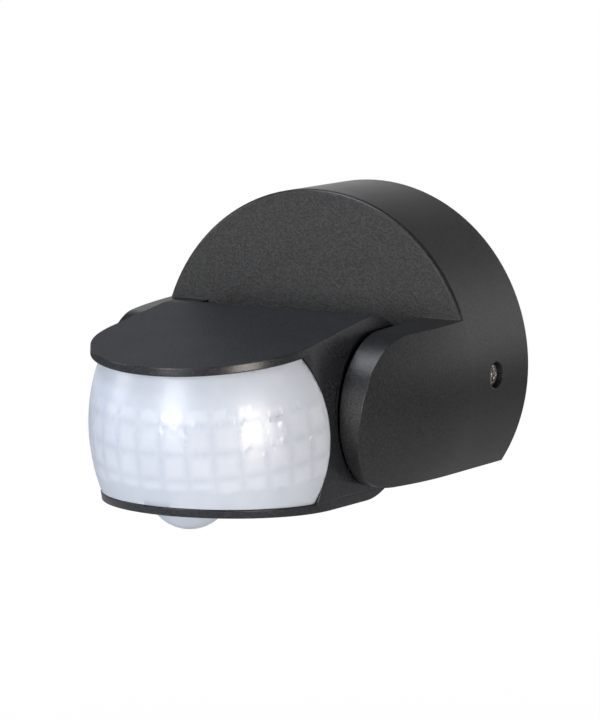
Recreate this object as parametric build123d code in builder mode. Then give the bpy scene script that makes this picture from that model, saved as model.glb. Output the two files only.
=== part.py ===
from build123d import *
import os
from math import cos, radians, sin, sqrt

os.makedirs("parts", exist_ok=True)

# A wall-mounted motion sensor with a tilting head, in millimetres.
# The origin is the drum's axis on the wall. Y points into the wall, -Y is the front, Z is up.

# ---------------------------------------------------------------- driving dimensions
# drum and arms
drum_radius = 40.0
drum_depth = 27.5
flat_drop = 21.7          # the drum's flat underside, below the axis
housing_wall = 2.4
ledge_height = 13.3       # top of the arms at the drum's face
arm_inner = 27.6          # inner face of each arm, from the middle
arm_web = 2.2             # thickness of the arm's inner wall
arm_tip_radius = 32.6     # radius of the domed outside at the arms' tips
dome_start = 26.0         # how far from the wall the outside starts to dome
edge_round = 0.8
# pivot
pivot_reach = 46.0        # pivot axis, out from the wall
pivot_drop = 4.6          # pivot axis, below the drum's axis
pin_radius = 4.0
pin_bore_radius = 2.0
pin_head_radius = 6.2
pin_head_height = 1.6
running_gap = 0.05
boss_radius = 9.0
boss_gap = 0.3
# head
head_round_radius = 20.1  # the rounded back of the head
head_round_back = 1.0     # its centre, in front of the pivot
head_round_drop = 0.2     # its centre, below the pivot
barrel_radius = 27.0      # the head's bulged front, at mid height
barrel_bulge_radius = 180.0
barrel_reach = 19.9       # the bulge's axis, in front of the pivot
barrel_lean = 10.0        # degrees: the front leans back towards the bottom
flank_taper = 1.0         # degrees: the sides close in towards the back
top_slope = 0.15
bottom_slope = -0.02
head_wall = 2.0
cover_thickness = 2.2
lip_height = 1.8
# lens
lens_radius = 28.0        # at mid height
lens_bulge_radius = 42.0
lens_reach = 21.5         # its own leaning axis, in front of the pivot
lens_wall = 1.0
lens_edge_reach = 21.3    # where the lens's side edge comes furthest back, in front of the pivot
lens_edge_drop = 5.6      # and how far below the pivot
lens_edge_radius = 37.0
fit_gap = 0.15
# down-looking lens
dome_reach = 33.0         # its centre, in front of the pivot
dome_radius = 8.0
dome_height = 4.6
# adjusting dials
dial_radius = 3.2
dial_pitch = 10.5
dial_reach = 11.5
dial_gap = 0.3
# wall plate
plate_thickness = 3.0
plate_gap = 0.3
slot_pitch = 48.0
slot_height = 14.0
slot_width = 5.0
slot_length = 9.0
entry_drop = 9.5
entry_radius = 5.8
cable_radius = 3.5
# side screws
side_screw_reach = 15.2
side_hole_radius = 3.0
side_head_radius = 2.75
side_head_height = 2.0
side_head_sunk = 0.9
side_thread_radius = 1.5
side_screw_length = 8.0
# boards
board_thickness = 1.6
power_board_front = 21.6

# ---------------------------------------------------------------- derived places
pivot_y = -pivot_reach
pivot_z = -pivot_drop
arm_end_radius = flat_drop - pivot_drop
face_y = -drum_depth
sweep_radius = head_round_radius + 0.3
recess_radius = sweep_radius + 0.9
saddle_radius = recess_radius + 2.0
round_y = pivot_y - head_round_back
round_z = pivot_z - head_round_drop
barrel_y = pivot_y - barrel_reach
barrel_z = pivot_z - 3.4
reach_end = 140.0         # longer than anything it has to cut through

barrel_plane = Plane(
    origin=(0, barrel_y, barrel_z),
    x_dir=(1, 0, 0),
    z_dir=(0, -sin(radians(barrel_lean)), cos(radians(barrel_lean))),
)
lens_plane = barrel_plane.move(Location((0, barrel_reach - lens_reach, 0)))


def finish(piece, name):
    """Name a finished piece and write it."""
    piece.label = name
    export_step(piece, "parts/" + name + ".step")


def side_plane(x):
    """A plane across the object at x, whose own x is Y and whose own y is Z."""
    return Plane(origin=(x, 0, 0), x_dir=(0, 1, 0), z_dir=(1, 0, 0))


def wall_plane(y):
    """A plane parallel to the wall, whose own x is X, whose own y is Z, facing the room."""
    return Plane(origin=(0, y, 0), x_dir=(1, 0, 0), z_dir=(0, -1, 0))


def level_plane(z):
    """A level plane facing up."""
    return Plane.XY.offset(z)


# ---------------------------------------------------------------- drum and arms
def arm_profile(inset):
    """Side view of the drum and an arm, its edges moved in by inset. Its x is Y and its y is Z."""
    end = arm_end_radius - inset
    low = -flat_drop + inset
    ledge = ledge_height - inset
    with BuildSketch() as view:
        with Locations((pivot_y, pivot_z)):
            Circle(end)
        with BuildLine():
            Polyline(
                (0, low), (pivot_y, low), (pivot_y, pivot_z + end), (face_y, ledge), (0, ledge), close=True
            )
        make_face()
    return view.sketch


def envelope(inset):
    """The round outside of the drum and arms: a cylinder that domes in towards the tips."""
    tip_y = pivot_y - arm_end_radius - 1.0
    run = -tip_y - dome_start
    drop = drum_radius - arm_tip_radius
    dome_radius_side = (run ** 2 + drop ** 2) / (2 * drop)
    side = drum_radius - inset
    mid_run = run / 2
    mid_drop = dome_radius_side - sqrt(dome_radius_side ** 2 - mid_run ** 2)
    with BuildPart() as body:
        with BuildSketch(Plane.XY):
            with BuildLine():
                Line((0, 1), (side, 1))
                Line((side, 1), (side, -dome_start))
                ThreePointArc(
                    (side, -dome_start),
                    (side - mid_drop, -dome_start - mid_run),
                    (side - drop, tip_y),
                )
                Line((side - drop, tip_y), (0, tip_y))
                Line((0, tip_y), (0, 1))
            make_face()
        revolve(axis=Axis.Y)
    return body.part


def arms(inset, inner):
    """Both arms, as far in as inner, with their domed outsides."""
    with BuildPart() as pair:
        with BuildSketch(side_plane(inner)):
            add(arm_profile(inset))
        extrude(amount=drum_radius)
        mirror(about=Plane.YZ)
        add(envelope(inset), mode=Mode.INTERSECT)
    return pair.part


with BuildPart() as drum_cavity:
    with BuildSketch(wall_plane(1)):
        Circle(drum_radius - housing_wall)
        with Locations((0, -drum_radius - flat_drop + housing_wall)):
            Rectangle(reach_end, 2 * drum_radius, mode=Mode.SUBTRACT)
    extrude(amount=1 + drum_depth - housing_wall)
    with BuildSketch(side_plane(-arm_inner)):
        with Locations((pivot_y, pivot_z)):
            Circle(saddle_radius)
    extrude(amount=2 * arm_inner, mode=Mode.SUBTRACT)
    add(arms(housing_wall, arm_inner + arm_web))

side_seat = drum_radius - side_head_sunk - side_head_height
side_boss_inner = side_seat - 2.6

with BuildPart() as drum_housing:
    with BuildSketch(wall_plane(0)):
        Circle(drum_radius)
        with Locations((0, -drum_radius - flat_drop)):
            Rectangle(reach_end, 2 * drum_radius, mode=Mode.SUBTRACT)
    extrude(amount=drum_depth)
    face_rim = drum_housing.edges().filter_by_position(Axis.Y, face_y - 0.01, face_y + 0.01)
    fillet(face_rim.filter_by(GeomType.CIRCLE), radius=edge_round)
    add(arms(0, arm_inner))
    with BuildSketch(side_plane(-arm_inner)):
        with Locations((pivot_y, pivot_z)):
            Circle(recess_radius)
    extrude(amount=2 * arm_inner, mode=Mode.SUBTRACT)
    add(drum_cavity.part, mode=Mode.SUBTRACT)
    # bosses inside the side wall for the side screws, with a sunk hole for each head
    for side in (-1, 1):
        boss_plane = Plane(origin=(side * side_boss_inner, -side_screw_reach, 0), z_dir=(side, 0, 0))
        with BuildSketch(boss_plane):
            Circle(4.6)
        extrude(amount=drum_radius - housing_wall / 2 - side_boss_inner)
        hole_plane = Plane(origin=(side * side_seat, -side_screw_reach, 0), z_dir=(side, 0, 0))
        with BuildSketch(hole_plane):
            Circle(side_hole_radius)
        extrude(amount=housing_wall + 2, mode=Mode.SUBTRACT)
        with BuildSketch(hole_plane):
            Circle(side_thread_radius + 0.2)
        extrude(amount=-5, mode=Mode.SUBTRACT)
    # bores for the pivot bushes
    with BuildSketch(side_plane(-arm_inner - arm_web - 1)):
        with Locations((pivot_y, pivot_z)):
            Circle(pin_radius + running_gap + 1.0)
    extrude(amount=2 * (arm_inner + arm_web + 1), mode=Mode.SUBTRACT)

# the posts on the drum's inner face that carry the power board
board_posts = [(-22, 17.5), (22, 17.5), (-22, -14.5), (22, -14.5)]
post_front = drum_depth - housing_wall
with BuildPart() as drum_posts:
    with BuildSketch(wall_plane(-power_board_front)):
        with Locations(*board_posts):
            Circle(2.6)
    extrude(amount=post_front - power_board_front + 0.5)
    with BuildSketch(wall_plane(-power_board_front)):
        with Locations(*board_posts):
            Circle(0.9)
    extrude(amount=2.4, mode=Mode.SUBTRACT)
with BuildPart() as housing:
    add(drum_housing.part)
    add(drum_posts.part)
finish(housing.part, "drum_housing")

# ---------------------------------------------------------------- wall plate
plate_radius = drum_radius - housing_wall - plate_gap
plate_low = -flat_drop + housing_wall + plate_gap
lug_outer = side_boss_inner - 0.3
lug_inner = lug_outer - 6.2
lug_length = side_screw_reach + 4.5
entry_flange = entry_radius + 1.8
entry_lip = 1.2

with BuildPart() as wall_plate:
    with BuildSketch(wall_plane(0)):
        Circle(plate_radius)
        with Locations((0, plate_low - drum_radius)):
            Rectangle(reach_end, 2 * drum_radius, mode=Mode.SUBTRACT)
    extrude(amount=plate_thickness)
    for side in (-1, 1):
        with BuildSketch(wall_plane(-plate_thickness)):
            with Locations((side * (lug_inner + lug_outer) / 2, 0)):
                Rectangle(lug_outer - lug_inner, 9)
        extrude(amount=lug_length - plate_thickness)
    with BuildSketch(side_plane(-lug_outer - 1)):
        with Locations((-side_screw_reach, 0)):
            Circle(side_thread_radius)
    extrude(amount=2 * lug_outer + 2, mode=Mode.SUBTRACT)
    with BuildSketch(wall_plane(1)):
        with Locations((-slot_pitch / 2, slot_height), (slot_pitch / 2, slot_height)):
            SlotOverall(slot_length, slot_width)
        with Locations((0, -entry_drop)):
            Circle(entry_radius)
    extrude(amount=plate_thickness + 2, mode=Mode.SUBTRACT)
    with BuildSketch(wall_plane(1)):
        with Locations((0, -entry_drop)):
            Circle(entry_flange)
    extrude(amount=1 + entry_lip, mode=Mode.SUBTRACT)
finish(wall_plate.part, "wall_plate")

with BuildPart() as plate_gasket:
    with BuildSketch(wall_plane(-plate_thickness)):
        Circle(plate_radius)
        Circle(plate_radius - 1.8, mode=Mode.SUBTRACT)
        with Locations((0, plate_low + 2.5 - drum_radius)):
            Rectangle(reach_end, 2 * drum_radius, mode=Mode.SUBTRACT)
    extrude(amount=1.6)
finish(plate_gasket.part, "plate_gasket")

# a flanged rubber grommet, snapped into the cable entry from behind
nose_length = 5.0
with BuildPart() as cable_grommet:
    with BuildSketch(Plane.XY) as section:
        with BuildLine():
            Polyline(
                (cable_radius, 0),
                (entry_flange - 0.1, 0),
                (entry_flange - 0.1, -entry_lip),
                (entry_radius - 0.1, -entry_lip),
                (entry_radius - 0.1, -plate_thickness),
                (entry_flange - 0.6, -plate_thickness),
                (entry_flange - 0.9, -plate_thickness - 1.2),
                (cable_radius + 0.9, -plate_thickness - nose_length),
                (cable_radius, -plate_thickness - nose_length),
                close=True,
            )
        make_face()
    revolve(axis=Axis.Y)
grommet_solid = cable_grommet.part.moved(Location((0, 0, -entry_drop)))
finish(grommet_solid, "cable_grommet")

# ---------------------------------------------------------------- side screws
def pan_screw(head_radius, head_height, shank_radius, length, recess):
    """A pan-head screw with a cross recess. Its seat is at z=0 and its shank points down."""
    with BuildPart() as screw:
        Cylinder(head_radius, head_height, align=(Align.CENTER, Align.CENTER, Align.MIN))
        top = screw.edges().filter_by(GeomType.CIRCLE).sort_by(Axis.Z)[-1]
        fillet(top, radius=head_height * 0.45)
        Cylinder(shank_radius, length, align=(Align.CENTER, Align.CENTER, Align.MAX))
        with BuildSketch(Plane.XY.offset(head_height)):
            Rectangle(recess * 3.2, recess)
            Rectangle(recess, recess * 3.2)
        extrude(amount=-head_height * 0.55, mode=Mode.SUBTRACT)
    return screw.part


def group(solids):
    """Several separate solids as one piece."""
    return Compound(children=solids)


side_screw = pan_screw(side_head_radius, side_head_height, side_thread_radius - 0.05, side_screw_length, 0.9)
side_places = [
    Plane(origin=(side * side_seat, -side_screw_reach, 0), x_dir=(0, 1, 0), z_dir=(side, 0, 0)).location
    for side in (-1, 1)
]
side_screws = group([side_screw.moved(place) for place in side_places])
finish(side_screws, "side_screws")

# ---------------------------------------------------------------- mains terminal on the plate
pole_pitch = 8.0
pole_count = 3
block_depth = 10.0
block_height = 10.0
block_width = pole_pitch * pole_count
block_low = 2.5
block_mid = block_low + block_height / 2
pole_places = [((i - (pole_count - 1) / 2) * pole_pitch, block_mid) for i in range(pole_count)]
cage_side = 4.6
terminal_front = -plate_thickness - block_depth

with BuildPart() as terminal_block:
    with BuildSketch(wall_plane(-plate_thickness)):
        with Locations((0, block_mid)):
            Rectangle(block_width, block_height)
    extrude(amount=block_depth)
    with BuildSketch(wall_plane(terminal_front)):
        with Locations(*pole_places):
            Circle(2.2)
    extrude(amount=-3.5, mode=Mode.SUBTRACT)
    # a wire way through each pole from below, with room for its brass cage
    with BuildSketch(level_plane(block_low - 1)):
        with Locations(*[(x, terminal_front + 3.5 + cage_side / 2) for x, z in pole_places]):
            Rectangle(cage_side, cage_side)
    extrude(amount=block_height - 1, mode=Mode.SUBTRACT)
finish(terminal_block.part, "terminal_block")

cages = []
clamp_screws = []
for x, z in pole_places:
    cage_y = terminal_front + 3.5 + cage_side / 2
    with BuildPart() as cage:
        with BuildSketch(level_plane(block_low + 1.5)):
            with Locations((x, cage_y)):
                Rectangle(cage_side - 0.2, cage_side - 0.2)
                Circle(1.5, mode=Mode.SUBTRACT)
        extrude(amount=5.5)
    cages.append(cage.part)
    with BuildPart() as clamp_screw:
        with BuildSketch(wall_plane(cage_y - cage_side / 2)):
            with Locations((x, z)):
                Circle(1.9)
        extrude(amount=2.6)
        with BuildSketch(wall_plane(cage_y - cage_side / 2 - 2.6)):
            with Locations((x, z)):
                Rectangle(3.0, 0.7)
        extrude(amount=-1.2, mode=Mode.SUBTRACT)
    clamp_screws.append(clamp_screw.part)
finish(group(cages), "terminal_clamps")
finish(group(clamp_screws), "terminal_screws")

# ---------------------------------------------------------------- power board
board_back = -power_board_front + board_thickness
with BuildPart() as power_board:
    with BuildSketch(wall_plane(board_back)):
        with Locations((0, 2.5)):
            RectangleRounded(52, 38, 2)
        with Locations(*board_posts):
            Circle(1.2, mode=Mode.SUBTRACT)
    extrude(amount=board_thickness)
finish(power_board.part, "power_board")


def on_board(x, z, width, height, tall, round_by):
    """A moulded component standing on the power board, on the side that faces the wall."""
    with BuildPart() as block:
        with BuildSketch(wall_plane(board_back)):
            with Locations((x, z)):
                RectangleRounded(width, height, round_by)
        extrude(amount=-tall)
    return block.part


finish(on_board(-16.5, -4, 15, 13, 12, 0.6), "relay")
finish(on_board(16.5, -5, 14, 7, 11, 0.8), "film_capacitor")

with BuildPart() as electrolytic_capacitor:
    with BuildSketch(wall_plane(board_back)):
        with Locations((17, 8)):
            Circle(4.5)
    extrude(amount=-12)
    chamfer(electrolytic_capacitor.edges().sort_by(Axis.Y)[-1], length=0.5)
finish(electrolytic_capacitor.part, "electrolytic_capacitor")

with BuildPart() as fuse:
    with BuildSketch(side_plane(-22)):
        with Locations((board_back + 2.2, 10)):
            Circle(2.2)
    extrude(amount=12)
    for x in (-22, -12.5):
        with BuildSketch(side_plane(x)):
            with Locations((board_back + 1.5, 10)):
                Rectangle(3, 3.2)
        extrude(amount=2.5)
finish(fuse.part, "fuse")

with BuildPart() as varistor:
    with BuildSketch(side_plane(3)):
        with Locations((board_back + 4.0, 17.5)):
            Circle(4.0)
    extrude(amount=3.4)
    fillet(varistor.edges().filter_by(GeomType.CIRCLE), radius=0.9)
finish(varistor.part, "varistor")

board_screw = pan_screw(2.0, 1.4, 0.85, 3.2, 0.6)
board_screws = group([
    board_screw.moved(Plane(origin=(x, board_back, z), x_dir=(1, 0, 0), z_dir=(0, 1, 0)).location)
    for x, z in board_posts
])
finish(board_screws, "board_screws")

# ---------------------------------------------------------------- head shells
half_height = 32.0        # tall enough for the barrel to pass the head's top and bottom
front_end = 60.0


def barrel_form(middle, bulge, stand):
    """A barrel about the leaning axis of stand: middle is its radius at mid height."""
    at_end = middle - (bulge - sqrt(bulge ** 2 - half_height ** 2))
    with BuildPart() as body:
        with BuildSketch(Plane.XZ):
            with BuildLine():
                Line((0, -half_height), (at_end, -half_height))
                ThreePointArc((at_end, -half_height), (middle, 0), (at_end, half_height))
                Line((at_end, half_height), (0, half_height))
                Line((0, half_height), (0, -half_height))
            make_face()
        revolve(axis=Axis.Z)
    return body.part.moved(stand.location)


def flank_form(middle, bulge):
    """The sides behind the barrel: one long bulged face each side, closing in towards the back."""
    with BuildPart() as body:
        with BuildSketch(Plane.XY.offset(-half_height)):
            with Locations((0, front_end / 2)):
                Rectangle(4 * middle, front_end)
        extrude(amount=2 * half_height)
        for side in (-1, 1):
            along = Vector(-side * sin(radians(flank_taper)), cos(radians(flank_taper)), 0)
            start = Vector(side * (middle - bulge), 0, 0) - along * front_end
            with BuildSketch(Plane(origin=start, z_dir=along)):
                Circle(bulge)
            extrude(amount=3 * front_end, mode=Mode.INTERSECT)
    return body.part.moved(barrel_plane.location)


def top_height(y, inset):
    """Height of the head's top plate at y."""
    seat = round_z + (head_round_radius - inset) * sqrt(1 + top_slope ** 2)
    return seat + top_slope * (y - round_y)


def bottom_height(y, inset):
    """Height of the head's bottom plate at y."""
    seat = round_z - (head_round_radius - inset) * sqrt(1 + bottom_slope ** 2)
    return seat + bottom_slope * (y - round_y)


far_front = -110.0


def side_form(inset):
    """The head's side view drawn right across: sloping top and bottom with a round back."""
    radius = head_round_radius - inset
    top_y = round_y - radius * top_slope / sqrt(1 + top_slope ** 2)
    low_y = round_y + radius * bottom_slope / sqrt(1 + bottom_slope ** 2)
    with BuildPart() as body:
        with BuildSketch(side_plane(-front_end)):
            with Locations((round_y, round_z)):
                Circle(head_round_radius - inset)
            with BuildLine():
                Polyline(
                    (low_y, bottom_height(low_y, inset)),
                    (far_front, bottom_height(far_front, inset)),
                    (far_front, top_height(far_front, inset)),
                    (top_y, top_height(top_y, inset)),
                    close=True,
                )
            make_face()
        extrude(amount=2 * front_end)
    return body.part


def head_form(inset):
    """The head's whole outer form, with every face moved in by inset."""
    with BuildPart() as body:
        add(barrel_form(barrel_radius - inset, barrel_bulge_radius - inset, barrel_plane))
        add(flank_form(barrel_radius - inset, barrel_bulge_radius - inset))
        add(side_form(inset), mode=Mode.INTERSECT)
    return body.part


def slab(low, high, y_front, y_back):
    """Everything between two heights above the bottom plate's outer face."""
    with BuildPart() as body:
        with BuildSketch(side_plane(-front_end)):
            with BuildLine():
                Polyline(
                    (y_front, bottom_height(y_front, 0) + low),
                    (y_back, bottom_height(y_back, 0) + low),
                    (y_back, bottom_height(y_back, 0) + high),
                    (y_front, bottom_height(y_front, 0) + high),
                    close=True,
                )
            make_face()
        extrude(amount=2 * front_end)
    return body.part


def lens_window(gap):
    """The opening for the lens: between the lips, and in front of its curved side edges."""
    edge_y = pivot_y - lens_edge_reach - gap
    edge_z = pivot_z - lens_edge_drop
    half = 30.0
    end_y = edge_y - lens_edge_radius + sqrt(lens_edge_radius ** 2 - half ** 2)
    with BuildPart() as body:
        with BuildSketch(side_plane(-front_end)):
            with BuildLine():
                Polyline(
                    (far_front, bottom_height(far_front, 0) + lip_height + gap),
                    (pivot_y, bottom_height(pivot_y, 0) + lip_height + gap),
                    (pivot_y, top_height(pivot_y, 0) - lip_height - gap),
                    (far_front, top_height(far_front, 0) - lip_height - gap),
                    close=True,
                )
            make_face()
            with BuildLine():
                Polyline(
                    (end_y, edge_z + half),
                    (far_front, edge_z + half),
                    (far_front, edge_z - half),
                    (end_y, edge_z - half),
                )
                ThreePointArc((end_y, edge_z - half), (edge_y, edge_z), (end_y, edge_z + half))
            make_face(mode=Mode.INTERSECT)
        extrude(amount=2 * front_end)
    return body.part


head_outside = head_form(0)
head_inside = head_form(head_wall)
cover_split = slab(-5, cover_thickness, far_front, 0)
boss_face = arm_inner - boss_gap
web_inner = 17.5                      # how far in the pivot bosses reach
rib_width = 3.0
board_seat_y = pivot_y - 16.5         # back face of the sensor board
sensor_board_places = [(side * (web_inner + rib_width / 2), pivot_z) for side in (-1, 1)]
head_screw_places = [(side * 17.8, pivot_y) for side in (-1, 1)]
cover_floor = bottom_height(pivot_y, 0) + cover_thickness
groove_inner = pin_radius + 1.4
groove_outer = groove_inner + 1.8
groove_depth = 1.3

with BuildPart() as head_shell:
    add(head_outside)
    add(head_inside, mode=Mode.SUBTRACT)
    add(lens_window(0), mode=Mode.SUBTRACT)
    for side in (-1, 1):
        # pivot boss, and the rib in front of it that the sensor board is screwed to
        with BuildSketch(side_plane(side * web_inner)):
            with Locations((pivot_y, pivot_z)):
                Circle(boss_radius)
        extrude(amount=side * (boss_face - web_inner))
        with BuildSketch(wall_plane(pivot_y - boss_radius + 3)):
            with Locations((side * (web_inner + rib_width / 2), pivot_z)):
                Rectangle(rib_width, 9)
        extrude(amount=pivot_y - boss_radius + 3 - board_seat_y)
    # posts for the cover screws
    with BuildSketch(level_plane(cover_floor - 1)):
        with Locations(*head_screw_places):
            Circle(2.3)
    extrude(amount=pivot_z - boss_radius + 4 - cover_floor)
    add(cover_split, mode=Mode.SUBTRACT)
    with BuildSketch(level_plane(cover_floor - 1)):
        with Locations(*head_screw_places):
            Circle(1.0)
    extrude(amount=7, mode=Mode.SUBTRACT)
    with BuildSketch(wall_plane(board_seat_y)):
        with Locations(*sensor_board_places):
            Circle(0.8)
    extrude(amount=-4, mode=Mode.SUBTRACT)
    # threaded holes for the pivot pins, and a groove in each boss's face for its O-ring
    with BuildSketch(side_plane(-arm_inner)):
        with Locations((pivot_y, pivot_z)):
            Circle(pin_radius)
    extrude(amount=2 * arm_inner, mode=Mode.SUBTRACT)
    for side in (-1, 1):
        with BuildSketch(side_plane(side * boss_face)):
            with Locations((pivot_y, pivot_z)):
                Circle(groove_outer)
                Circle(groove_inner, mode=Mode.SUBTRACT)
        extrude(amount=-side * groove_depth, mode=Mode.SUBTRACT)
finish(head_shell.part, "head_shell")

# the level board under the sensor board, with the dials and the down-looking sensor
dial_board_top = -15.0
dial_board_low = dial_board_top - board_thickness
dial_y = pivot_y - dial_reach
dial_places = [(i * dial_pitch, dial_y) for i in (-1, 0, 1)]
dome_y = pivot_y - dome_reach
dial_post_places = [(-10.5, pivot_y - 22), (10.5, pivot_y - 22)]
head_screw_seat = bottom_height(pivot_y, 0) + 1.3

with BuildPart() as bottom_cover:
    add(head_outside)
    add(cover_split, mode=Mode.INTERSECT)
    add(lens_window(0), mode=Mode.SUBTRACT)
    with BuildSketch(level_plane(cover_floor - cover_thickness / 2)):
        with Locations(*dial_post_places):
            Circle(2.3)
    extrude(amount=dial_board_low - cover_floor + cover_thickness / 2)
    with BuildSketch(level_plane(dial_board_low)):
        with Locations(*dial_post_places):
            Circle(0.8)
    extrude(amount=-4, mode=Mode.SUBTRACT)
    with BuildSketch(level_plane(cover_floor - 6)):
        with Locations((0, dome_y)):
            Circle(dome_radius + fit_gap)
        with Locations(*dial_places):
            Circle(dial_radius + dial_gap)
        with Locations(*head_screw_places):
            Circle(1.4)
    extrude(amount=8, mode=Mode.SUBTRACT)
    with BuildSketch(level_plane(head_screw_seat)):
        with Locations(*head_screw_places):
            Circle(2.5)
    extrude(amount=-4, mode=Mode.SUBTRACT)
finish(bottom_cover.part, "bottom_cover")

gasket_width = 0.9
gasket_back = round_y + 4.0
with BuildPart() as gasket_middle:
    add(barrel_form(barrel_radius - head_wall - gasket_width, barrel_bulge_radius, barrel_plane))
    add(flank_form(barrel_radius - head_wall - gasket_width, barrel_bulge_radius))
    split(bisect_by=Plane.XZ.offset(-gasket_back), keep=Keep.TOP)
with BuildPart() as cover_gasket:
    add(head_inside)
    add(slab(cover_thickness, cover_thickness + 1.2, far_front, 0), mode=Mode.INTERSECT)
    add(gasket_middle.part, mode=Mode.SUBTRACT)
    add(lens_window(-1.0), mode=Mode.SUBTRACT)
finish(cover_gasket.part, "cover_gasket")

# ---------------------------------------------------------------- lenses
with BuildPart() as fresnel_lens:
    add(barrel_form(lens_radius, lens_bulge_radius, lens_plane))
    add(barrel_form(lens_radius - lens_wall, lens_bulge_radius - lens_wall, lens_plane), mode=Mode.SUBTRACT)
    add(lens_window(fit_gap), mode=Mode.INTERSECT)
finish(fresnel_lens.part, "fresnel_lens")

dome_base = bottom_height(dome_y, 0)
dome_seat = bottom_height(dome_y - dome_radius, 0) + cover_thickness + 0.1
dome_ball = (dome_radius ** 2 + dome_height ** 2) / (2 * dome_height)
dome_centre = dome_base - dome_height + dome_ball
dome_wall = 1.0
with BuildPart() as down_lens:
    with Locations((0, dome_y, dome_centre)):
        Sphere(dome_ball)
        Sphere(dome_ball - dome_wall, mode=Mode.SUBTRACT)
    split(bisect_by=Plane.XY.offset(dome_base), keep=Keep.BOTTOM)
    with BuildSketch(level_plane(dome_base)):
        with Locations((0, dome_y)):
            Circle(dome_radius)
            Circle(dome_radius - dome_wall - 0.4, mode=Mode.SUBTRACT)
    extrude(amount=dome_seat - dome_base)
    with BuildSketch(level_plane(dome_seat)):
        with Locations((0, dome_y)):
            Circle(dome_radius + 1.4)
            Circle(dome_radius - dome_wall - 0.4, mode=Mode.SUBTRACT)
    extrude(amount=0.9)
finish(down_lens.part, "down_lens")

# ---------------------------------------------------------------- pivot
web_outer = arm_inner + arm_web
friction_thickness = 0.6
spring_height = 0.9
spring_thickness = 0.4
seat_gap = 0.05
spring_seat = web_outer + friction_thickness + seat_gap
pin_seat = spring_seat + spring_height
pin_top = pin_seat + pin_head_height
pin_inner = web_inner + 1.5


def at_pivot(solid):
    """A solid made about the X axis for the +X side, as a pair, one at each end of the pivot."""
    near = solid.moved(Location((0, pivot_y, pivot_z)))
    return group([near, mirror(near, about=Plane.YZ, mode=Mode.PRIVATE)])


def turned(points):
    """A ring or pin turned about the X axis. Each point is its place along X and its radius."""
    with BuildPart() as body:
        with BuildSketch(Plane.XY):
            with BuildLine():
                Polyline(*points, close=True)
            make_face()
        revolve(axis=Axis.X)
    return body.part


with BuildPart() as pivot_pin:
    add(turned([
        (pin_inner, pin_bore_radius),
        (pin_inner, pin_radius),
        (pin_seat, pin_radius),
        (pin_seat, pin_head_radius),
        (pin_top - 0.4, pin_head_radius),
        (pin_top, pin_head_radius - 0.4),
        (pin_top, pin_bore_radius),
    ]))
    # two notches for the driver
    with BuildSketch(side_plane(pin_top)):
        Rectangle(2 * pin_head_radius + 1, 1.4)
    extrude(amount=-0.7, mode=Mode.SUBTRACT)
finish(at_pivot(pivot_pin.part), "pivot_pins")

bush_inner = pin_radius + running_gap
bush_outer = bush_inner + 0.95
finish(at_pivot(turned([
    (arm_inner, bush_inner),
    (arm_inner, bush_outer + running_gap),
    (web_outer, bush_outer + running_gap),
    (web_outer, bush_inner),
])), "pivot_bushes")

finish(at_pivot(turned([
    (web_outer, bush_inner),
    (web_outer, pin_head_radius),
    (web_outer + friction_thickness, pin_head_radius),
    (web_outer + friction_thickness, bush_inner),
])), "friction_washers")

finish(at_pivot(turned([
    (pin_seat - spring_thickness, pin_radius + 0.1),
    (pin_seat, pin_radius + 0.1),
    (spring_seat + spring_thickness, pin_head_radius),
    (spring_seat, pin_head_radius),
])), "spring_washers")

ring_thick = 0.65
with BuildPart() as pivot_o_ring:
    with BuildSketch(Plane.XY):
        with Locations((boss_face - groove_depth + ring_thick, (groove_inner + groove_outer) / 2)):
            Circle(ring_thick)
    revolve(axis=Axis.X)
finish(at_pivot(pivot_o_ring.part), "pivot_o_rings")

# ---------------------------------------------------------------- boards in the head
sensor_front = board_seat_y - board_thickness
with BuildPart() as sensor_board:
    with BuildSketch(wall_plane(board_seat_y)):
        with Locations((0, -2.5)):
            RectangleRounded(43, 21, 1.5)
        with Locations(*sensor_board_places):
            Circle(1.1, mode=Mode.SUBTRACT)
    extrude(amount=board_thickness)
finish(sensor_board.part, "sensor_board")

with BuildPart() as pyro_sensor:
    with BuildSketch(wall_plane(sensor_front)):
        with Locations((0, pivot_z - 2)):
            Circle(4.8)
    extrude(amount=0.7)
    with BuildSketch(wall_plane(sensor_front - 0.7)):
        with Locations((0, pivot_z - 2)):
            Circle(4.2)
    extrude(amount=3.5)
    fillet(pyro_sensor.edges().sort_by(Axis.Y)[0], radius=0.4)
    with BuildSketch(wall_plane(sensor_front - 4.2)):
        with Locations((0, pivot_z - 2)):
            Rectangle(4.6, 3.6)
    extrude(amount=-0.3, mode=Mode.SUBTRACT)
finish(pyro_sensor.part, "pyro_sensor")

with BuildPart() as light_sensor:
    with BuildSketch(wall_plane(sensor_front)):
        with Locations((11, 1)):
            Circle(2.5)
    extrude(amount=2)
    chamfer(light_sensor.edges().sort_by(Axis.Y)[0], length=0.3)
finish(light_sensor.part, "light_sensor")

with BuildPart() as indicator_led:
    with BuildSketch(wall_plane(sensor_front)):
        with Locations((-11, 1)):
            Circle(1.9)
    extrude(amount=1)
    with BuildSketch(wall_plane(sensor_front - 1)):
        with Locations((-11, 1)):
            Circle(1.5)
    extrude(amount=3.4)
    fillet(indicator_led.edges().sort_by(Axis.Y)[0], radius=1.3)
finish(indicator_led.part, "indicator_led")

plug_x = 12.5
plug_depth = 5.0
with BuildPart() as board_connector:
    with BuildSketch(wall_plane(board_seat_y)):
        with Locations((plug_x, pivot_z)):
            Rectangle(6, 8)
    extrude(amount=-plug_depth)
finish(board_connector.part, "board_connector")

with BuildPart() as controller_chip:
    with BuildSketch(wall_plane(board_seat_y)):
        with Locations((-6, -3)):
            Rectangle(7, 7)
    extrude(amount=-1.2)
finish(controller_chip.part, "controller_chip")

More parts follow.
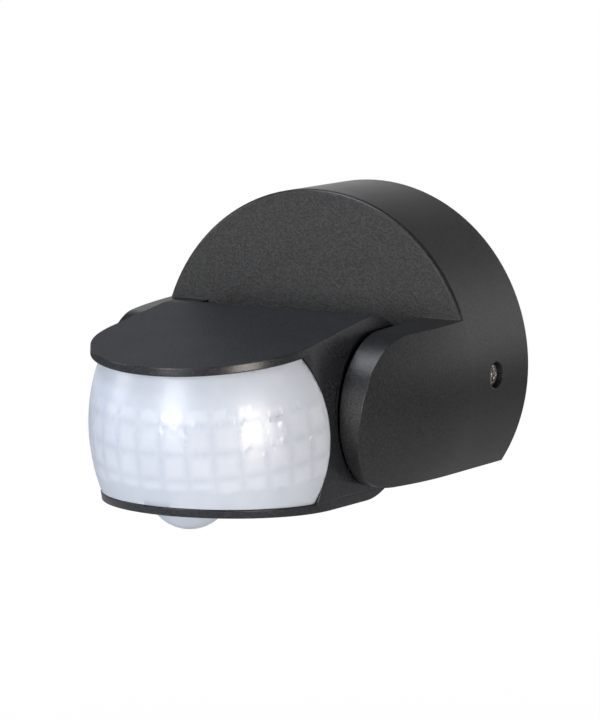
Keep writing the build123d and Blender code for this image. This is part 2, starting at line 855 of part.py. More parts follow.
sensor_screw = pan_screw(1.8, 1.3, 0.8, 4.5, 0.55)
finish(group([
    sensor_screw.moved(Plane(origin=(x, sensor_front, z), x_dir=(1, 0, 0), z_dir=(0, -1, 0)).location)
    for x, z in sensor_board_places
]), "sensor_board_screws")

with BuildPart() as dial_board:
    with BuildSketch(level_plane(dial_board_low)):
        with Locations((0, (dial_y + dome_y) / 2 - 0.5)):
            RectangleRounded(29, 35, 2)
        with Locations(*dial_post_places):
            Circle(1.1, mode=Mode.SUBTRACT)
    extrude(amount=board_thickness)
finish(dial_board.part, "dial_board")

dial_screw = pan_screw(1.8, 1.3, 0.8, 4.5, 0.55)
finish(group([
    dial_screw.moved(Location((x, y, dial_board_top))) for x, y in dial_post_places
]), "dial_board_screws")

with BuildPart() as down_sensor:
    with BuildSketch(level_plane(dial_board_low)):
        with Locations((0, dome_y)):
            Circle(3.2)
    extrude(amount=-3.2)
    chamfer(down_sensor.edges().sort_by(Axis.Z)[0], length=0.3)
finish(down_sensor.part, "down_sensor")

# ---------------------------------------------------------------- adjusting dials
trimmer_height = 3.4
trimmer_low = dial_board_low - trimmer_height
stem_radius = 1.5
stem_top = trimmer_low + 2.0
dial_low = bottom_height(dial_y, 0) + 0.4
dial_top = dial_low + 2.2
trimmers = []
for x, y in dial_places:
    with BuildPart() as trimmer:
        with BuildSketch(level_plane(trimmer_low)):
            with Locations((x, y)):
                Rectangle(7, 7)
        extrude(amount=trimmer_height)
        with BuildSketch(level_plane(trimmer_low)):
            with Locations((x, y)):
                Circle(stem_radius + running_gap)
        extrude(amount=2.4, mode=Mode.SUBTRACT)
    trimmers.append(trimmer.part)
finish(group(trimmers), "trimmer_pots")

for (x, y), name in zip(dial_places, ("time_dial", "light_dial", "range_dial")):
    with BuildPart() as dial:
        with BuildSketch(level_plane(dial_low)):
            with Locations((x, y)):
                Circle(dial_radius)
        extrude(amount=dial_top - dial_low)
        chamfer(dial.edges().sort_by(Axis.Z)[0], length=0.3)
        with BuildSketch(level_plane(dial_top)):
            with Locations((x, y)):
                Circle(stem_radius)
        extrude(amount=stem_top - dial_top)
        # a screwdriver slot, open at one end as the pointer
        with BuildSketch(level_plane(dial_low)):
            with Locations((x, y)):
                Rectangle(0.9, 4.4)
            with Locations((x, y - dial_radius / 2)):
                Rectangle(0.9, dial_radius)
        extrude(amount=1.1, mode=Mode.SUBTRACT)
    finish(dial.part, name)

cover_screw = pan_screw(2.1, 1.2, 0.95, 6.0, 0.6)
finish(group([
    cover_screw.moved(Plane(origin=(x, y, head_screw_seat), x_dir=(1, 0, 0), z_dir=(0, 0, -1)).location)
    for x, y in head_screw_places
]), "head_screws")

# ---------------------------------------------------------------- wires through the pivot
wire_radius = 0.9
wire_turn = 1.0
wire_x = pin_top + wire_turn + 0.1
board_edge = 26.0
wire_y = board_back - board_thickness / 2


def bundle(points, radii):
    """A round wire bundle along straight runs joined by arcs."""
    with BuildPart() as body:
        with BuildLine() as route:
            FilletPolyline(*points, radius=radii)
        with BuildSketch(Plane(origin=points[0], z_dir=Vector(*points[1]) - Vector(*points[0]))):
            Circle(wire_radius)
        sweep(path=route.line)
    return body.part


finish(bundle([
    (board_edge, wire_y, pivot_z),
    (wire_x, wire_y, pivot_z),
    (wire_x, pivot_y, pivot_z),
    (pin_top, pivot_y, pivot_z),
], [3.0, wire_turn]), "base_harness")
finish(bundle([
    (pin_top, pivot_y, pivot_z),
    (plug_x, pivot_y, pivot_z),
    (plug_x, board_seat_y + plug_depth, pivot_z),
], [3.0]), "head_harness")
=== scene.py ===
# %% [markdown]
# # A wall-mounted motion sensor, looks first
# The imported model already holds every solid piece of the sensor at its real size: a round drum
# on the wall, two arms, and a head that tilts between them. This lesson gives those pieces the
# surfaces that the real ones have, and models the milky front lens again with small facets.
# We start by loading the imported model. Its nodes keep their places, so nothing has to be fitted.

import bmesh
import bpy
import numpy as np
from mathutils import Matrix, Vector


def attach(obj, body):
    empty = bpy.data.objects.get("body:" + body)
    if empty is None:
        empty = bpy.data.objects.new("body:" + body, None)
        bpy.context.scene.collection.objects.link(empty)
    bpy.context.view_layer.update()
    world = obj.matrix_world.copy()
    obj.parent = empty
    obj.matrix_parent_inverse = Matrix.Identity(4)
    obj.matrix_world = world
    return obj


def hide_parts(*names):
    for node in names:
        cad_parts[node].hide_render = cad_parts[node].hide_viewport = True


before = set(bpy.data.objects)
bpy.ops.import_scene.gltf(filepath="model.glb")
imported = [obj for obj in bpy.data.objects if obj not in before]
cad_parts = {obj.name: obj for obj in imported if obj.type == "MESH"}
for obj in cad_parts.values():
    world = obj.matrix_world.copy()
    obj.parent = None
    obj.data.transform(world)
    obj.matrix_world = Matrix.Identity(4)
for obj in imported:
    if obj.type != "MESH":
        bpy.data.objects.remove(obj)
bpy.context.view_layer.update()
MM = 0.001

# %% [markdown]
# ## The camera
# A long lens from about a metre away keeps the sensor's sides nearly parallel, as a product
# picture does. The camera's place comes from an angle round the object, an angle above it, a
# small roll and a distance, measured from a point inside the head.

# %% Place the camera
AZIMUTH, ELEVATION, ROLL = np.radians([30.534, 7.923, 0.522])
DISTANCE = 0.93506
AIM = Vector((1.946, -36.36, 2.820)) * MM
LENS_LENGTH = 210.98
LONG_SIDE = 36.0

back = Vector((
    np.sin(AZIMUTH) * np.cos(ELEVATION), -np.cos(AZIMUTH) * np.cos(ELEVATION), np.sin(ELEVATION)))
across = Vector((np.cos(AZIMUTH), np.sin(AZIMUTH), 0))
upward = back.cross(across)
right = across * np.cos(ROLL) + upward * np.sin(ROLL)
up = upward * np.cos(ROLL) - across * np.sin(ROLL)

camera_data = bpy.data.cameras.new("product_camera")
camera_data.lens = LENS_LENGTH
camera_data.sensor_width = LONG_SIDE
camera_data.clip_start, camera_data.clip_end = 0.01, 20
camera = bpy.data.objects.new("product_camera", camera_data)
bpy.context.scene.collection.objects.link(camera)
turn = Matrix((right, up, back)).transposed()
camera.matrix_world = Matrix.Translation(AIM + back * DISTANCE) @ turn.to_4x4()
bpy.context.scene.camera = camera
print("camera stands", round(camera.location.length, 3), "m from the drum's axis")

# %% [markdown]
# ## Light, wall of white, floor
# Black plastic has almost no colour of its own: what the eye reads is what it mirrors. So the
# light is a few large soft panels whose reflections draw the edges. The surround is plain white
# to the camera and through clear pieces. To everything else it is a dark room with one pale band
# low behind the object, which the drum's side picks up at a grazing angle. The floor is pale and
# far enough below to catch only a faint shadow.

# %% Small helpers for colours and nodes
def linear(hex_code):
    """An sRGB hex colour as the linear values that a shader wants."""
    parts = [int(hex_code[i : i + 2], 16) / 255 for i in (1, 3, 5)]
    return [c / 12.92 if c <= 0.04045 else ((c + 0.055) / 1.055) ** 2.4 for c in parts] + [1.0]


def add_node(tree, kind, inputs=None, **settings):
    """Adds one node, sets its settings, and gives each named input a value or a link."""
    node = tree.nodes.new(kind)
    for name, value in settings.items():
        setattr(node, name, value)
    for name, value in (inputs or {}).items():
        if isinstance(value, bpy.types.NodeSocket):
            tree.links.new(value, node.inputs[name])
        else:
            node.inputs[name].default_value = value
    return node


def new_material(name):
    """An empty node material with its shader and output: returns material, tree, shader."""
    material = bpy.data.materials.new(name)
    material.use_nodes = True
    tree = material.node_tree
    tree.nodes.clear()
    shader = add_node(tree, "ShaderNodeBsdfPrincipled")
    add_node(tree, "ShaderNodeOutputMaterial", {"Surface": shader.outputs["BSDF"]})
    return material, tree, shader


# %% World: white to the eye, a dark room with a pale band behind the object as a mirror
ROOM = 0.07
BAND = 0.85
BAND_LOW, BAND_HIGH = -0.07, 0.36
SOFT_LOW, SOFT_HIGH = 0.06, 0.14
BEHIND_STARTS, BEHIND_FULL = 0.1, 0.7
world = bpy.data.worlds.new("white_surround")
bpy.context.scene.world = world
world.use_nodes = True
sky = world.node_tree
sky.nodes.clear()
path = add_node(sky, "ShaderNodeLightPath")
seen = add_node(sky, "ShaderNodeMath", {
    0: path.outputs["Is Camera Ray"], 1: path.outputs["Is Transmission Ray"]}, operation="MAXIMUM")
heading = add_node(sky, "ShaderNodeTexCoord")
toward = add_node(sky, "ShaderNodeSeparateXYZ", {0: heading.outputs["Generated"]})
above = add_node(sky, "ShaderNodeMapRange", {
    "Value": toward.outputs["Z"], "From Min": BAND_LOW - SOFT_LOW, "From Max": BAND_LOW + SOFT_LOW},
    interpolation_type="SMOOTHSTEP")
below = add_node(sky, "ShaderNodeMapRange", {
    "Value": toward.outputs["Z"], "From Min": BAND_HIGH + SOFT_HIGH, "From Max": BAND_HIGH - SOFT_HIGH},
    interpolation_type="SMOOTHSTEP")
behind = add_node(sky, "ShaderNodeMapRange", {
    "Value": toward.outputs["Y"], "From Min": BEHIND_STARTS, "From Max": BEHIND_FULL},
    interpolation_type="SMOOTHSTEP")
band = add_node(sky, "ShaderNodeMath", {0: above.outputs[0], 1: below.outputs[0]}, operation="MULTIPLY")
band = add_node(sky, "ShaderNodeMath", {0: band.outputs[0], 1: behind.outputs[0]}, operation="MULTIPLY")
lamp = add_node(sky, "ShaderNodeMapRange", {"Value": band.outputs[0], "To Min": ROOM, "To Max": BAND})
unseen = add_node(sky, "ShaderNodeMath", {0: 1.0, 1: seen.outputs[0]}, operation="SUBTRACT")
unlit = add_node(sky, "ShaderNodeMath", {0: lamp.outputs[0], 1: unseen.outputs[0]}, operation="MULTIPLY")
strength = add_node(sky, "ShaderNodeMath", {0: unlit.outputs[0], 1: seen.outputs[0]}, operation="ADD")
glow = add_node(sky, "ShaderNodeBackground", {"Color": linear("#ffffff"), "Strength": strength.outputs[0]})
add_node(sky, "ShaderNodeOutputWorld", {"Surface": glow.outputs[0]})
print("surround: dark room", ROOM, "pale band", BAND)


# %% Soft panels
def soft_panel(name, heading_from, distance, aim, width, height, watts, colour="#ffffff"):
    """A rectangular soft light that faces aim from the given direction. Sizes are in millimetres."""
    data = bpy.data.lights.new(name, "AREA")
    data.shape = "RECTANGLE"
    data.size, data.size_y = width * MM, height * MM
    data.energy = watts
    data.color = linear(colour)[:3]
    panel = bpy.data.objects.new(name, data)
    bpy.context.scene.collection.objects.link(panel)
    panel.location = (Vector(aim) + Vector(heading_from).normalized() * distance) * MM
    panel.rotation_euler = (Vector(aim) * MM - panel.location).to_track_quat("-Z", "Y").to_euler()
    return panel


LENS_MIDDLE = (0, -68, -4)
soft_panel("front_panel", (-0.127, -0.986, 0.13), 900, LENS_MIDDLE, 330, 460, 4.8)
soft_panel("right_panel", (0.89, -0.44, -0.06), 900, LENS_MIDDLE, 380, 480, 7.0, "#fff4e6")
soft_panel("top_panel", (-0.25, -0.30, 0.92), 700, (0, -40, 10), 420, 300, 3.0, "#f2f6ff")
soft_panel("left_panel", (-0.9, -0.4, 0.25), 900, (0, -50, 0), 260, 420, 2.0)

# %% A pale floor that fades to plain white away from the object
FLOOR_DROP = 140
FLOOR_RADIUS = 700
WHITE_SHARE = 0.93
FADE_SHARE = 0.5
floor_data = bpy.data.meshes.new("floor")
builder = bmesh.new()
bmesh.ops.create_circle(builder, cap_ends=True, segments=96, radius=FLOOR_RADIUS * MM)
builder.to_mesh(floor_data)
builder.free()
floor = bpy.data.objects.new("floor", floor_data)
bpy.context.scene.collection.objects.link(floor)
floor.location.z = -FLOOR_DROP * MM
floor_material, tree, shader = new_material("painted_studio_floor")
path = add_node(tree, "ShaderNodeLightPath")
place = add_node(tree, "ShaderNodeTexCoord")
reach = add_node(tree, "ShaderNodeVectorMath", {0: place.outputs["Object"]}, operation="LENGTH")
shown = add_node(tree, "ShaderNodeMapRange", {
    "Value": reach.outputs["Value"], "From Min": 0, "From Max": FADE_SHARE * FLOOR_RADIUS * MM,
    "To Min": WHITE_SHARE, "To Max": 1.0}, interpolation_type="SMOOTHSTEP")
paint = add_node(tree, "ShaderNodeBsdfDiffuse", {"Color": linear("#d8d8d8")})
white = add_node(tree, "ShaderNodeEmission", {"Color": linear("#ffffff"), "Strength": 1.0})
share = add_node(tree, "ShaderNodeMath", {0: path.outputs["Is Camera Ray"], 1: shown.outputs[0]},
                 operation="MULTIPLY")
mixed = add_node(tree, "ShaderNodeMixShader", {0: share.outputs[0], 1: paint.outputs[0], 2: white.outputs[0]})
tree.nodes.remove(shader)
output = next(n for n in tree.nodes if n.type == "OUTPUT_MATERIAL")
tree.links.new(mixed.outputs[0], output.inputs["Surface"])
floor_data.materials.append(floor_material)
print("floor", FLOOR_DROP, "mm below the drum's axis")

# %% [markdown]
# ## Patterns that the finishes share
# Every finish is a few noises in the piece's own coordinates, stretched to a range and used as
# colour, roughness or height. Grain sizes are given in real millimetres.

# %% Colour, noise, range and soft edge
def blend_colours(tree, factor, first, second):
    """A colour mix of two hex colours, driven by factor: returns its output socket."""
    node = add_node(tree, "ShaderNodeMix", {0: factor}, data_type="RGBA")
    node.inputs[6].default_value = linear(first)
    node.inputs[7].default_value = linear(second)
    return node.outputs[2]


def noise(tree, place, grain_mm, detail=2.0, roughness=0.5):
    """A noise whose grains are about grain_mm across, on the piece's own coordinates."""
    return add_node(tree, "ShaderNodeTexNoise", {
        "Vector": place.outputs["Object"], "Scale": 1 / (grain_mm * MM), "Detail": detail,
        "Roughness": roughness}).outputs["Fac"]


def remap(tree, value, low, high, to_low, to_high):
    """A value stretched from low..high to to_low..to_high, clamped."""
    return add_node(tree, "ShaderNodeMapRange", {
        "Value": value, "From Min": low, "From Max": high, "To Min": to_low, "To Max": to_high}).outputs[0]


def soften_edges(tree, radius_mm):
    """A bevelled normal: the moulded edges catch a thin line of light."""
    return add_node(tree, "ShaderNodeBevel", {"Radius": radius_mm * MM}, samples=6).outputs[0]


# %% [markdown]
# ## Black moulded plastic
# The drum, arms and head are injection-moulded ABS. The mould was spark-eroded, which leaves a
# fine pebbled skin: coarse on the flat faces, much finer on the sides. The skin breaks each
# highlight into sparkling grains. We make it from two noises in the piece's own coordinates,
# and let the direction that a surface faces choose between coarse and fine.

# %% Moulded ABS
PEBBLE_MM = 0.42


def moulded_abs(name, colour, coarse_axis, coarse_rough, fine_rough, coarse_depth, fine_depth):
    """Black ABS: coarse spark-eroded skin on faces that look along coarse_axis, fine elsewhere."""
    material, tree, shader = new_material(name)
    place = add_node(tree, "ShaderNodeTexCoord")
    facing = add_node(tree, "ShaderNodeSeparateXYZ", {0: place.outputs["Normal"]})
    along = add_node(tree, "ShaderNodeMath", {0: facing.outputs[coarse_axis]}, operation="ABSOLUTE")
    mask = remap(tree, along.outputs[0], 0.86, 0.97, 0, 1)
    pebbles = noise(tree, place, PEBBLE_MM, 2.0, 0.6)
    fine = noise(tree, place, 0.6 * PEBBLE_MM, 1.0)
    clouds = noise(tree, place, 14, 3.0)
    depth = remap(tree, mask, 0, 1, fine_depth, coarse_depth)
    skin = add_node(tree, "ShaderNodeMix", {0: mask, 2: fine, 3: pebbles})
    bump = add_node(tree, "ShaderNodeBump", {
        "Strength": depth, "Distance": 0.10 * MM, "Height": skin.outputs[0]})
    tree.links.new(soften_edges(tree, 0.4), bump.inputs["Normal"])
    tree.links.new(bump.outputs[0], shader.inputs["Normal"])
    rough = remap(tree, mask, 0, 1, fine_rough, coarse_rough)
    patchy = add_node(tree, "ShaderNodeMath", {0: clouds, 1: 0.08, 2: rough}, operation="MULTIPLY_ADD")
    tree.links.new(patchy.outputs[0], shader.inputs["Roughness"])
    speck = remap(tree, pebbles, 0.35, 0.75, 0, 1)
    tree.links.new(blend_colours(tree, speck, *colour), shader.inputs["Base Color"])
    shader.inputs["IOR"].default_value = 1.5
    return material


HOUSING_ABS = moulded_abs("moulded_abs_housing", ("#0f0f10", "#303134"), "Y", 0.50, 0.30, 1.0, 0.45)
HEAD_ABS = moulded_abs("moulded_abs_head", ("#101114", "#35373f"), "Z", 0.45, 0.24, 1.0, 0.2)
PLATE_ABS = moulded_abs("moulded_abs_plate", ("#161618", "#202022"), "Y", 0.55, 0.5, 0.3, 0.2)


def dress(node_names, material):
    """Gives the CAD nodes one material."""
    for node_name in node_names.split():
        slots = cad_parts[node_name].data.materials
        slots.clear()
        slots.append(material)


dress("drum_housing", HOUSING_ABS)
dress("head_shell bottom_cover", HEAD_ABS)
dress("wall_plate", PLATE_ABS)

# %% [markdown]
# ## Small moulded pieces
# Nylon, acetal, epoxy and painted cases all come out of a mould with a faint flow pattern and
# a fine matt skin. One function gives them both, so the pieces differ only in their colour,
# how matt they are and how deep the skin is.

# %% Plastics and rubbers
def moulded_polymer(name, colours, rough, grain_mm, depth, cloud_mm=6, clear=0.0):
    """A moulded polymer: two close colours in soft clouds, a fine skin and slightly soft edges."""
    material, tree, shader = new_material(name)
    place = add_node(tree, "ShaderNodeTexCoord")
    clouds = noise(tree, place, cloud_mm, 3.0)
    skin = noise(tree, place, grain_mm, 2.0)
    cloudy = remap(tree, clouds, 0.35, 0.65, 0, 1)
    tree.links.new(blend_colours(tree, cloudy, *colours), shader.inputs["Base Color"])
    tree.links.new(remap(tree, clouds, 0.3, 0.7, rough - 0.04, rough + 0.06), shader.inputs["Roughness"])
    bump = add_node(tree, "ShaderNodeBump", {"Strength": depth, "Distance": 0.04 * MM, "Height": skin})
    tree.links.new(soften_edges(tree, 0.15), bump.inputs["Normal"])
    tree.links.new(bump.outputs[0], shader.inputs["Normal"])
    shader.inputs["Transmission Weight"].default_value = clear
    shader.inputs["IOR"].default_value = 1.5
    return material


SEAL = moulded_polymer("epdm_seal_rubber", ("#131313", "#1d1d1c"), 0.78, 0.12, 0.5)
NYLON = moulded_polymer("glass_filled_nylon_terminal", ("#d9d6cc", "#c9c5b8"), 0.48, 0.10, 0.35, 3)
ACETAL = moulded_polymer("machined_acetal_bush", ("#e6e4dc", "#d8d5ca"), 0.32, 0.20, 0.15, 4)
RELAY = moulded_polymer("glossy_pbt_relay_case", ("#1c3c70", "#24477e"), 0.22, 0.30, 0.10)
FILM_CASE = moulded_polymer("painted_capacitor_case", ("#b98f1f", "#c89c2c"), 0.34, 0.22, 0.15, 5)
VARISTOR = moulded_polymer("dipped_epoxy_varistor", ("#1d4f8f", "#2860a4"), 0.30, 0.9, 0.7, 3)
CONNECTOR = moulded_polymer("nylon_connector", ("#e9e5d8", "#dad5c4"), 0.42, 0.12, 0.25, 3)
CHIP = moulded_polymer("transfer_moulded_chip_epoxy", ("#1a1a1b", "#242425"), 0.62, 0.06, 0.6, 2)
TRIMMER = moulded_polymer("trimmer_case_plastic", ("#245b9d", "#2e69ad"), 0.36, 0.12, 0.2, 3)
DIAL = moulded_polymer("acetal_dial", ("#dcdad2", "#cfccc2"), 0.38, 0.14, 0.25, 3)
SHEATH = moulded_polymer("pvc_wire_sheath", ("#2a2a2c", "#38383b"), 0.42, 0.35, 0.2, 4)
SENSOR_RESIN = moulded_polymer("tinted_epoxy_light_sensor", ("#94594f", "#a4665a"), 0.08, 0.8, 0.05, 3, 0.5)
LED_RESIN = moulded_polymer("diffused_red_led_epoxy", ("#c22c26", "#d63a32"), 0.16, 0.6, 0.05, 3, 0.45)
FUSE_GLASS = moulded_polymer("drawn_glass_fuse_tube", ("#eef4f2", "#e2ebe8"), 0.04, 2.0, 0.03, 6, 0.9)
dress("plate_gasket cable_grommet cover_gasket pivot_o_rings", SEAL)
dress("terminal_block", NYLON)
dress("pivot_bushes", ACETAL)
dress("relay", RELAY)
dress("film_capacitor", FILM_CASE)
dress("varistor", VARISTOR)
dress("board_connector", CONNECTOR)
dress("controller_chip", CHIP)
dress("trimmer_pots", TRIMMER)
dress("time_dial light_dial range_dial", DIAL)
dress("base_harness head_harness", SHEATH)
dress("light_sensor", SENSOR_RESIN)
dress("indicator_led", LED_RESIN)
dress("fuse", FUSE_GLASS)

# %% [markdown]
# ## Metals
# Stainless screws are cold-formed and tumbled, zinc plating is duller and a little blue, brass
# is cut and keeps its tool marks. Fine stretched noise gives the tool marks, and small dents
# from tumbling break the reflection.

# %% Screws, washers, clamps and sensor cans
def worked_metal(name, colours, rough, mark_mm, depth):
    """A metal with fine tool marks drawn out along X, faint dents and two close tones."""
    material, tree, shader = new_material(name)
    place = add_node(tree, "ShaderNodeTexCoord")
    stretched = add_node(tree, "ShaderNodeMapping", {0: place.outputs["Object"], 3: (0.15, 1.0, 1.0)})
    marks = add_node(tree, "ShaderNodeTexNoise", {
        0: stretched.outputs[0], "Scale": 1 / (mark_mm * MM), "Detail": 3.0}).outputs["Fac"]
    dents = noise(tree, place, 0.9, 2.0)
    dented = remap(tree, dents, 0.35, 0.65, 0, 1)
    tree.links.new(blend_colours(tree, dented, *colours), shader.inputs["Base Color"])
    tree.links.new(remap(tree, marks, 0.3, 0.7, rough - 0.05, rough + 0.08), shader.inputs["Roughness"])
    height = add_node(tree, "ShaderNodeMath", {0: marks, 1: 0.4, 2: dents}, operation="MULTIPLY_ADD")
    bump = add_node(tree, "ShaderNodeBump", {
        "Strength": depth, "Distance": 0.03 * MM, "Height": height.outputs[0]})
    tree.links.new(soften_edges(tree, 0.15), bump.inputs["Normal"])
    tree.links.new(bump.outputs[0], shader.inputs["Normal"])
    shader.inputs["Metallic"].default_value = 1.0
    return material


STAINLESS = worked_metal("tumbled_stainless_steel", ("#c9c8c6", "#b7b6b3"), 0.24, 0.12, 0.3)
ZINC = worked_metal("zinc_plated_steel", ("#aeb4bb", "#9ba2aa"), 0.34, 0.16, 0.35)
BRASS = worked_metal("cut_brass_clamps", ("#c7a04c", "#b58c3c"), 0.28, 0.14, 0.35)
CAN = moulded_polymer("shrunk_pvc_can_sleeve", ("#1b1b1e", "#28282c"), 0.30, 0.30, 0.15, 5)
SENSOR_CAN = worked_metal("nickel_plated_sensor_can", ("#bdb9ae", "#aca89c"), 0.22, 0.14, 0.2)


# %% Circuit board
def circuit_board(name):
    """Green solder mask over copper: a raised, paler square track pattern and a faint weave."""
    material, tree, shader = new_material(name)
    place = add_node(tree, "ShaderNodeTexCoord")
    tracks = add_node(tree, "ShaderNodeTexVoronoi", {
        "Vector": place.outputs["Object"], "Scale": 1 / (4.5 * MM)},
        distance="CHEBYCHEV", feature="F1").outputs["Distance"]
    copper = remap(tree, tracks, 0.34, 0.38, 1, 0)
    weave = add_node(tree, "ShaderNodeTexChecker", {
        "Vector": place.outputs["Object"], "Scale": 1 / (0.7 * MM)}).outputs["Fac"]
    tree.links.new(blend_colours(tree, copper, "#0d3b22", "#17573a"), shader.inputs["Base Color"])
    height = add_node(tree, "ShaderNodeMath", {0: weave, 1: 0.15, 2: copper}, operation="MULTIPLY_ADD")
    bump = add_node(tree, "ShaderNodeBump", {
        "Strength": 0.5, "Distance": 0.04 * MM, "Height": height.outputs[0]})
    tree.links.new(bump.outputs[0], shader.inputs["Normal"])
    grain = noise(tree, place, 1.2)
    tree.links.new(remap(tree, grain, 0.3, 0.7, 0.26, 0.40), shader.inputs["Roughness"])
    return material


BOARD = circuit_board("solder_masked_board")
dress("side_screws head_screws", STAINLESS)
dress("terminal_screws board_screws sensor_board_screws dial_board_screws pivot_pins", ZINC)
dress("terminal_clamps", BRASS)
dress("electrolytic_capacitor", CAN)
dress("pyro_sensor down_sensor", SENSOR_CAN)
dress("power_board sensor_board dial_board", BOARD)
dress("spring_washers", STAINLESS)
dress("friction_washers", ACETAL)
print("finishes so far:", len(bpy.data.materials))

# %% [markdown]
# ## The milky lenses
# The lenses are thin milky polyethylene. The front one has a grid of small Fresnel facets: each
# is a very shallow pillow, and the joint between two is a fine groove. We take the lens's own
# outline from the model, cut its skin along the facets, and press the grooves in. The facets
# reach the middle band of the lens; above and below it, and on the small dome, the skin is plain.
# The points are visited in the mesh's own order, because pressing one in changes the test for the
# points next to it, and an unordered set would give a slightly different lens at each run.

# %% Facetted lens
LENS_ORIGIN = Vector((0, -67.5, -8.0))
LEAN = np.radians(10)
LENS_AXIS = Vector((0, -np.sin(LEAN), np.cos(LEAN)))
LENS_FRONT = Vector((0, -np.cos(LEAN), -np.sin(LEAN)))
LENS_RADIUS, LENS_BULGE = 28.0, 42.0
COLUMN = 11.8
ROW_EDGES = [-17.0, -12.4, -7.9, -3.3, 2.5, 8.6, 14.0, 18.1, 23.0]
COLUMNS_EACH_SIDE = 7
FINE_COLUMNS = 6
FINE_ROWS = 4
GROOVE = 0.07
SLIVER = 0.04
SKIN_DEPTH = 0.06
WELD = 0.002
CUT_SNAP = 0.0005
HIGHEST = 30.0


def lens_place(point):
    """A point in millimetres as its angle in degrees, height and depth under the lens's outside."""
    local = point - LENS_ORIGIN
    height = local.dot(LENS_AXIS)
    radius = np.hypot(local.x, local.dot(LENS_FRONT))
    sag = LENS_BULGE - np.sqrt(LENS_BULGE**2 - min(height**2, HIGHEST**2))
    outside = LENS_RADIUS - sag
    return np.degrees(np.arctan2(local.x, local.dot(LENS_FRONT))), height, outside - radius


def facet_at(angle, height):
    """How far a place is into its facet, from 0 in a groove to 1, and its distance from the middle."""
    row = int(np.clip(np.searchsorted(ROW_EDGES, height) - 1, 0, len(ROW_EDGES) - 2))
    low, high = ROW_EDGES[row], ROW_EDGES[row + 1]
    across = (angle / COLUMN + 0.5) % 1 * 2 - 1
    upright = (height - low) / (high - low) * 2 - 1
    inside = 1 - max(abs(across), abs(upright))
    middle = np.hypot(across * np.radians(COLUMN) * LENS_RADIUS / 2, upright * (high - low) / 2)
    return max(inside, 0.0), middle


def facetted_copy(node_name, new_name, cuts, locate, groove):
    """A copy of a CAD node cut by planes, with facets pressed into the skin that locate() finds."""
    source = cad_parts[node_name].data
    mesh = bmesh.new()
    mesh.from_mesh(source)
    bmesh.ops.remove_doubles(mesh, verts=mesh.verts, dist=WELD * MM)

    def skin_faces():
        return [f for f in mesh.faces if all(abs(locate(v.co / MM)[2]) < SKIN_DEPTH for v in f.verts)]

    for origin, normal in cuts:
        faces = skin_faces()
        edges = dict.fromkeys(edge for face in faces for edge in face.edges)
        verts = dict.fromkeys(vert for face in faces for vert in face.verts)
        bmesh.ops.bisect_plane(mesh, geom=[*faces, *edges, *verts], plane_co=origin * MM, plane_no=normal,
                               dist=CUT_SNAP * MM)
    slivers = [edge for edge in mesh.edges if edge.calc_length() < SLIVER * MM]
    bmesh.ops.dissolve_degenerate(mesh, dist=SLIVER * MM, edges=slivers)
    inside_layer = mesh.verts.layers.float.new("facet")
    middle_layer = mesh.verts.layers.float.new("ring")
    skin = list(dict.fromkeys(vert for face in skin_faces() for vert in face.verts))
    for vert in skin:
        angle, height, _ = locate(vert.co / MM)
        inside, middle = facet_at(angle, height)
        vert[inside_layer], vert[middle_layer] = inside, middle
    mesh.normal_update()
    for vert in skin:
        around = [other for face in vert.link_faces for other in face.verts]
        if all(abs(locate(other.co / MM)[2]) < SKIN_DEPTH for other in around):
            vert.co -= vert.normal * groove * (1 - vert[inside_layer]) ** 2 * MM
    for face in mesh.faces:
        face.smooth = True
    data = bpy.data.meshes.new(new_name)
    mesh.to_mesh(data)
    mesh.free()
    piece = bpy.data.objects.new(new_name, data)
    bpy.context.scene.collection.objects.link(piece)
    return piece


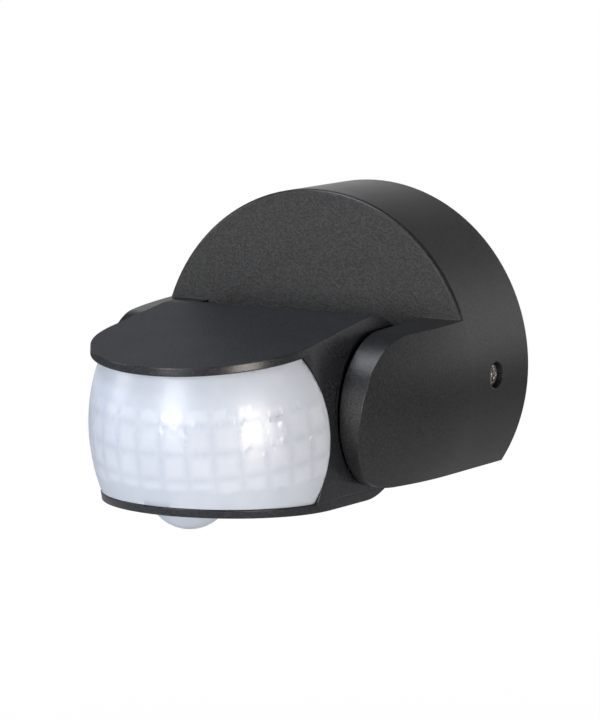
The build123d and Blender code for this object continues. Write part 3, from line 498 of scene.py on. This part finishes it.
lens_cuts = []
side_steps = COLUMNS_EACH_SIDE * FINE_COLUMNS
for step in range(-side_steps, side_steps + 1):
    turn_by = np.radians((step / FINE_COLUMNS + 0.5) * COLUMN)
    lens_cuts.append((LENS_ORIGIN, Vector((1, 0, 0)) * np.cos(turn_by) - LENS_FRONT * np.sin(turn_by)))
for low, high in zip(ROW_EDGES, ROW_EDGES[1:]):
    for part in range(FINE_ROWS):
        lens_cuts.append((LENS_ORIGIN + LENS_AXIS * (low + (high - low) * part / FINE_ROWS), LENS_AXIS))
lens = facetted_copy("fresnel_lens", "facetted_lens", lens_cuts, lens_place, GROOVE)
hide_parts("fresnel_lens")
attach(lens, "head")
print("lens:", len(lens.data.vertices), "points")


# %% Milky polyethylene
RING_PITCH_MM = 0.45


def milky_polyethylene(name):
    """Thin milky HDPE: light soaks in, so its body is pale blue-white; painted shade darkens each facet
    towards its grooves, and fine rings show.
    """
    material, tree, shader = new_material(name)
    place = add_node(tree, "ShaderNodeTexCoord")
    facet = add_node(tree, "ShaderNodeAttribute", attribute_name="facet").outputs["Fac"]
    ring = add_node(tree, "ShaderNodeAttribute", attribute_name="ring").outputs["Fac"]
    wave = add_node(tree, "ShaderNodeMath", {0: ring, 1: 2 * np.pi / RING_PITCH_MM}, operation="MULTIPLY")
    wave = add_node(tree, "ShaderNodeMath", {0: wave.outputs[0]}, operation="SINE").outputs[0]
    clouds = noise(tree, place, 9, 2.0)
    # Painted shade: the colour darkens from each facet's middle towards its grooves, so the middles read lit
    # and the edges read shaded; soft clouds add a little random tone.
    groove = remap(tree, facet, 0.0, 0.55, 1, 0)
    painted_groove_shade_and_clouds = add_node(tree, "ShaderNodeMath", {0: groove, 1: 0.35, 2: remap(tree, clouds, 0.3, 0.7, 0, 0.25)},
                     operation="MULTIPLY_ADD")
    tree.links.new(blend_colours(tree, painted_groove_shade_and_clouds.outputs[0], "#d2d9e6", "#adb8ca"), shader.inputs["Base Color"])
    bump = add_node(tree, "ShaderNodeBump", {"Strength": 0.12, "Distance": 0.02 * MM, "Height": wave})
    tree.links.new(bump.outputs[0], shader.inputs["Normal"])
    tree.links.new(remap(tree, groove, 0, 1, 0.30, 0.45), shader.inputs["Roughness"])
    shader.inputs["Subsurface Weight"].default_value = 0.35
    shader.inputs["Subsurface Radius"].default_value = (1.0, 1.1, 1.3)
    shader.inputs["Coat Weight"].default_value = 0.4
    shader.inputs["Coat Roughness"].default_value = 0.22
    shader.inputs["Subsurface Scale"].default_value = 1.2 * MM
    shader.inputs["IOR"].default_value = 1.54
    return material


POLYETHYLENE = milky_polyethylene("milky_hdpe_lens")
lens.data.materials.clear()
lens.data.materials.append(POLYETHYLENE)
dress("down_lens", POLYETHYLENE)

# %% Render settings that belong to the look
bpy.context.scene.view_settings.view_transform = "Standard"
